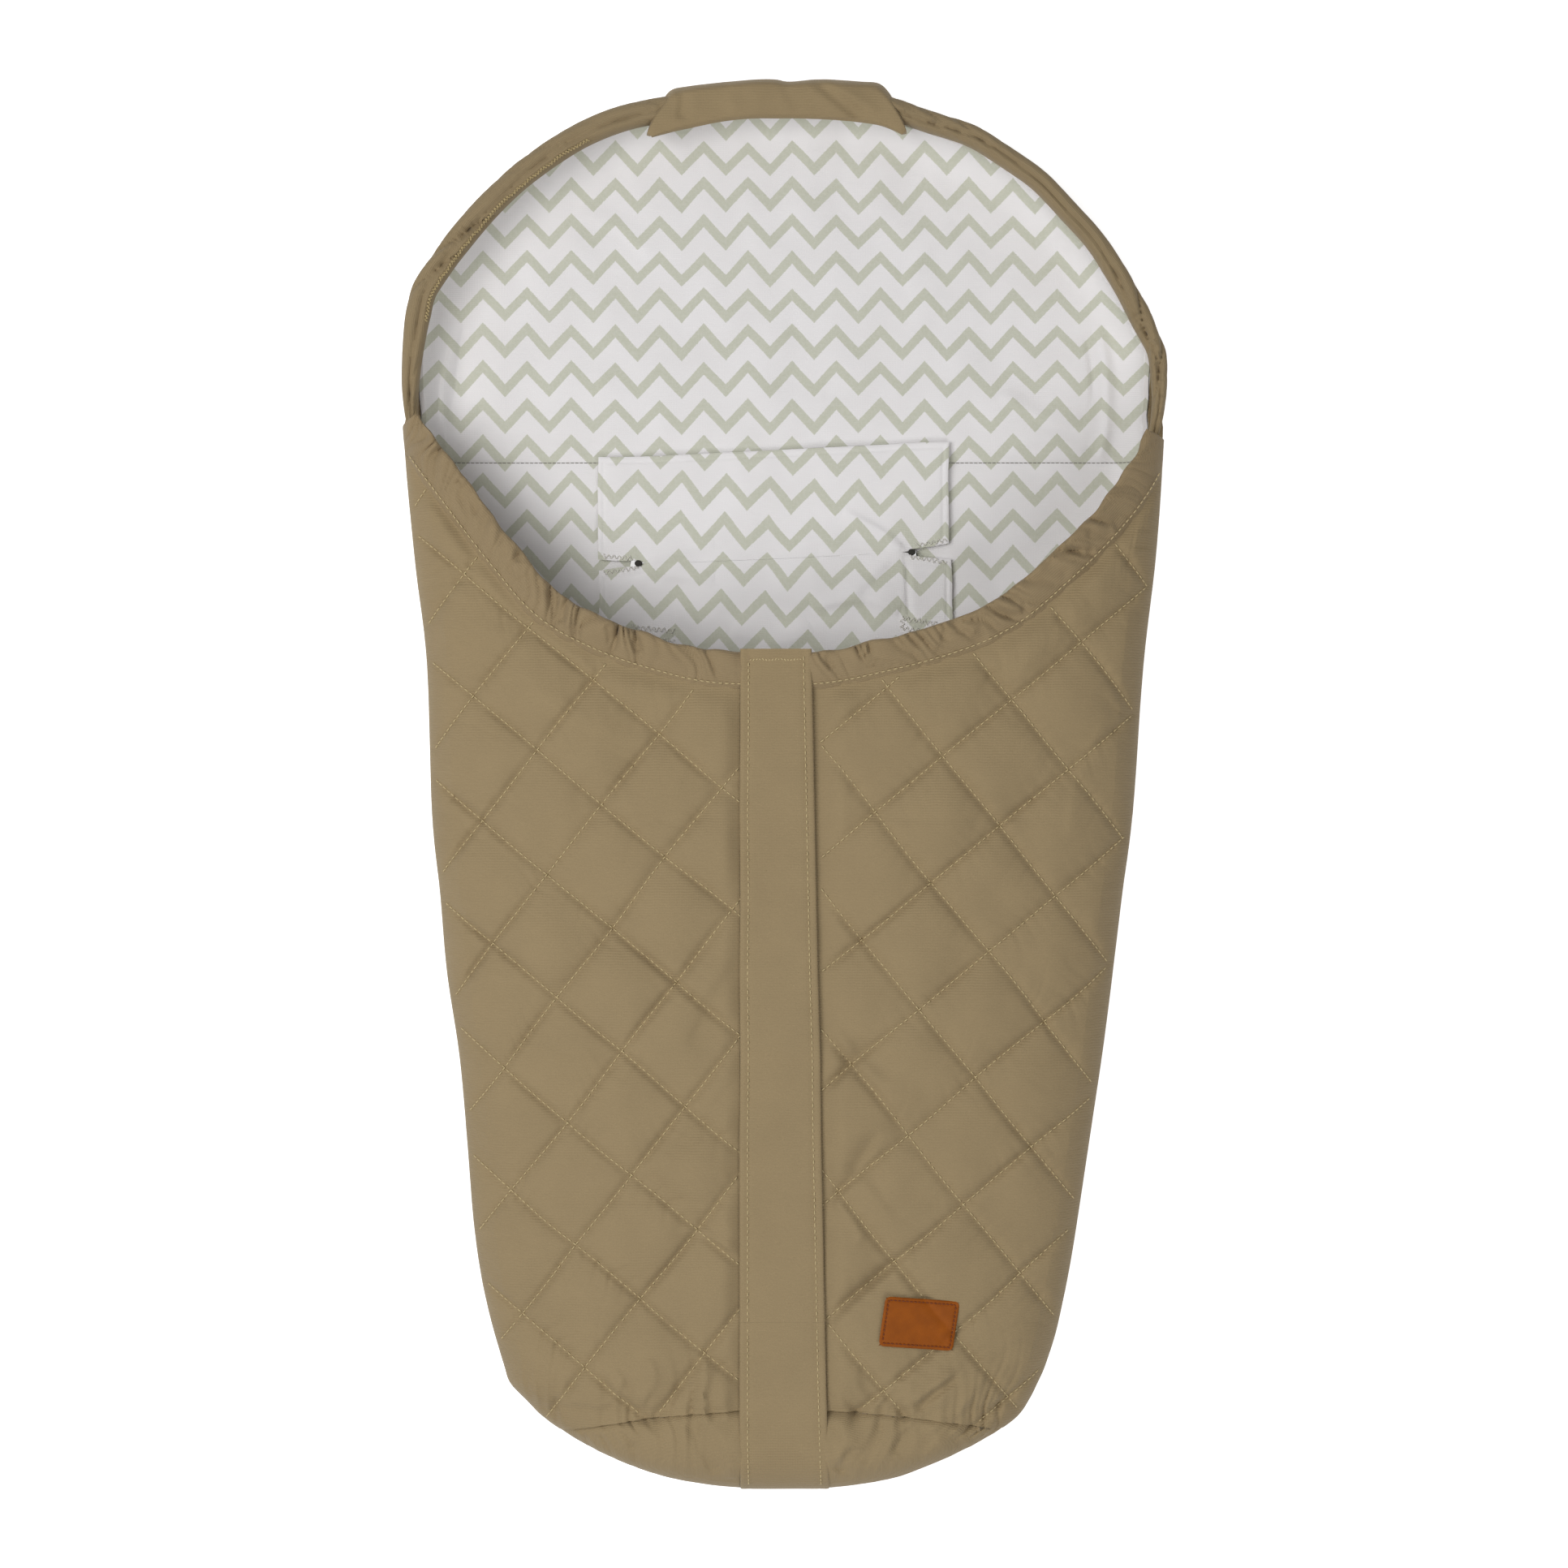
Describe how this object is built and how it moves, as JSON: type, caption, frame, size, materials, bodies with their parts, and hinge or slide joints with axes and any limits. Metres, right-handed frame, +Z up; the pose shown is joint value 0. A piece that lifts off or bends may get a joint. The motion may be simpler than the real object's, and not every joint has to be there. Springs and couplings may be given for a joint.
{
  "type": "stroller footmuff",
  "caption": "Quilted stroller footmuff with a hood, zip-opening front under a storm flap, gathered rim, harness slots and a fold-up harness flap.",
  "frame": {"origin": "middle of the footprint, on the surface it lies on", "axes": "+Y towards the head end, +Z up from the back to the front, +X to the right seen from above"},
  "size_m": [0.434, 0.8, 0.08],
  "materials": {
    "outer": "taupe ribbed poplin, soft sheen",
    "wadding": "polyester wadding",
    "lining": "cotton jersey with printed zigzag stripes",
    "elastic": "woven elastic",
    "label": "smooth tan leather, bare",
    "zip": "nylon coil zip",
    "slider": "painted zinc",
    "hook_tape": "hook and loop tape"
  },
  "bodies": {
    "muff": {"back_shell": "outer", "back_wadding": "wadding", "back_lining": "lining", "hood_lining": "lining", "hood_rim_casing": "outer", "hood_rim_elastic": "elastic", "head_pocket": "outer", "harness_panel": "lining", "loop_pad": "hook_tape", "toe_front_shell": "outer", "toe_gusset_shell": "outer", "toe_wadding": "wadding", "toe_lining": "lining", "placket_toe": "outer", "leather_label": "label", "side_left_shell": "outer", "side_left_wadding": "wadding", "side_left_lining": "lining", "side_left_rim_hem": "outer", "side_left_rim_elastic": "elastic", "side_right_shell": "outer", "side_right_wadding": "wadding", "side_right_lining": "lining", "side_right_rim_hem": "outer", "side_right_rim_elastic": "elastic"},
    "lapel_left": {"lapel_left_shell": "outer", "lapel_left_wadding": "wadding", "lapel_left_lining": "lining", "lapel_left_rim_hem": "outer", "lapel_left_rim_elastic": "elastic", "zip_tape_left": "zip", "zip_teeth_left": "zip", "zip_top_stop_left": "slider"},
    "lapel_right": {"lapel_right_shell": "outer", "lapel_right_wadding": "wadding", "lapel_right_lining": "lining", "lapel_right_rim_hem": "outer", "lapel_right_rim_elastic": "elastic", "zip_tape_right": "zip", "zip_teeth_right": "zip", "zip_top_stop_right": "slider"},
    "placket": {"placket": "outer"},
    "slider": {"zip_slider": "slider"},
    "puller": {"zip_puller": "slider"},
    "harness_flap": {"harness_flap": "lining", "hook_pad": "hook_tape"}
  },
  "joints": [
    {"name": "lapel_left_open", "type": "hinge", "parent": "muff", "child": "lapel_left", "pos_m": [-0.028, -0.3, 0.0815], "axis": [0.3023, -0.953, 0.0227], "range_deg": [0, 100]},
    {"name": "lapel_right_open", "type": "hinge", "parent": "muff", "child": "lapel_right", "pos_m": [0.028, -0.3, 0.0815], "axis": [0.3023, 0.953, -0.0227], "range_deg": [0, 100]},
    {"name": "placket_lift", "type": "hinge", "parent": "lapel_left", "child": "placket", "pos_m": [-0.025, 0, 0.0782], "axis": [0, -1, 0], "range_deg": [0, 75]},
    {"name": "zip_travel", "type": "slide", "parent": "lapel_left", "child": "slider", "axis": [0, -1, 0], "range_m": [0, 0.3]},
    {"name": "puller_swing", "type": "hinge", "parent": "slider", "child": "puller", "pos_m": [0, 0.056, 0.0767], "axis": [-1, 0, 0], "range_deg": [0, 60]},
    {"name": "harness_flap_lift", "type": "hinge", "parent": "muff", "child": "harness_flap", "pos_m": [-0.006, 0.127, 0.0162], "axis": [1, 0, 0], "range_deg": [0, 110]}
  ],
  "couplings": [
    {"joint": "lapel_right_open", "follows": "lapel_left_open", "ratio": 1},
    {"joint": "puller_swing", "follows": "placket_lift", "ratio": 0.8}
  ]
}
